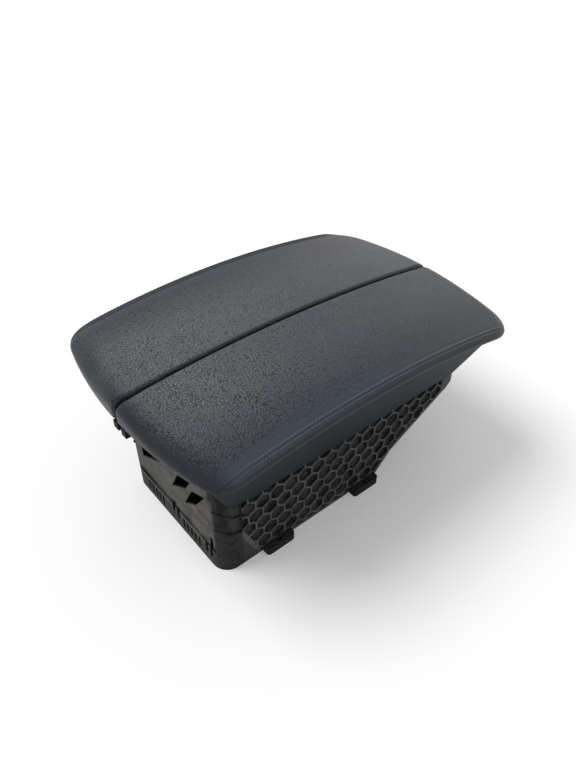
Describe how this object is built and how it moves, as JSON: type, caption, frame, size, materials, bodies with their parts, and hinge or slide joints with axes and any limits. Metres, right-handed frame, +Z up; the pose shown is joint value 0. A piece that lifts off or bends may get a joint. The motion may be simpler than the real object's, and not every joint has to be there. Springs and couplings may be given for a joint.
{
  "type": "car armrest",
  "caption": "Centre armrest with side by side padded lids hinged at the rear over a deep moulded storage box with honeycomb side walls.",
  "frame": {"origin": "bottom of the box, in the middle of the lids in plan", "axes": "+X to the right lid, -Y to the front with the release levers, +Z up"},
  "size_m": [0.226, 0.336, 0.1693],
  "materials": {
    "leather": "fine pebble grain",
    "collar_plastic": "satin",
    "box_plastic": "satin",
    "carrier_plastic": "fine texture",
    "rubber": "matt",
    "steel": "zinc plated"
  },
  "bodies": {
    "base": {"storage_box": "box_plastic", "top_frame": "collar_plastic", "bin_mat": "rubber", "lid_buffers": "rubber", "frame_screws": "steel", "release_pin": "steel", "left_inner_pin": "steel", "left_outer_pin": "steel", "left_lid_spring": "steel", "left_release_spring": "steel", "right_inner_pin": "steel", "right_outer_pin": "steel", "right_lid_spring": "steel", "right_release_spring": "steel"},
    "left_lid": {"left_lid_pad": "leather", "left_lid_carrier": "carrier_plastic", "left_lid_liner": "carrier_plastic", "left_liner_screws": "steel", "left_striker": "steel"},
    "left_lever": {"left_release": "box_plastic"},
    "right_lid": {"right_lid_pad": "leather", "right_lid_carrier": "carrier_plastic", "right_lid_liner": "carrier_plastic", "right_liner_screws": "steel", "right_striker": "steel"},
    "right_lever": {"right_release": "box_plastic"}
  },
  "joints": [
    {"name": "left_lid_hinge", "type": "hinge", "parent": "base", "child": "left_lid", "pos_m": [-0.054, 0.15, 0.134], "axis": [-1, 0, 0], "range_deg": [0, 75]},
    {"name": "left_release_press", "type": "hinge", "parent": "base", "child": "left_lever", "pos_m": [-0.00575, -0.149, 0.138], "axis": [1, 0, 0], "range_deg": [0, 12], "stiffness_Nm_per_rad": 0.15, "springref_deg": -11.46},
    {"name": "right_lid_hinge", "type": "hinge", "parent": "base", "child": "right_lid", "pos_m": [0.054, 0.15, 0.134], "axis": [-1, 0, 0], "range_deg": [0, 75]},
    {"name": "right_release_press", "type": "hinge", "parent": "base", "child": "right_lever", "pos_m": [0.00575, -0.149, 0.138], "axis": [1, 0, 0], "range_deg": [0, 12], "stiffness_Nm_per_rad": 0.15, "springref_deg": -11.46}
  ]
}
